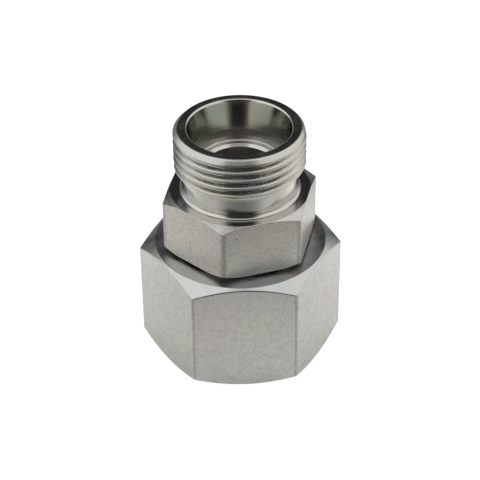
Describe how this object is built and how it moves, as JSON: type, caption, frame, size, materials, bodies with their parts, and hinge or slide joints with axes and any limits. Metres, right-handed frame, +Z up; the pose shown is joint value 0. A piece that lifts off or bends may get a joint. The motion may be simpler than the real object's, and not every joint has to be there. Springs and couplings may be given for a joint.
{
  "type": "face seal fitting",
  "caption": "Straight steel adapter: a threaded tube end with a cone socket on top, and below it a flat seal face inside a free-turning hexagon nut.",
  "frame": {"origin": "centre of the swivel nut's open end face, on the bore's axis, which is the face that the fitting stands on", "axes": "+Z up the bore towards the male tube end; +Y and -Y look at two flats of the nut"},
  "size_m": [0.047, 0.041, 0.058],
  "materials": {
    "zinc_plate": "zinc plated, clear passivated, satin",
    "spring_steel": "spring steel, lightly oiled"
  },
  "bodies": {
    "adapter": {"adapter_body": "zinc_plate", "retaining_ring": "spring_steel"},
    "nut": {"swivel_nut": "zinc_plate"}
  },
  "joints": [
    {"name": "nut_spin", "type": "hinge", "parent": "adapter", "child": "nut", "pos_m": [0, 0, 0], "axis": [0, 0, 1], "continuous": true}
  ]
}
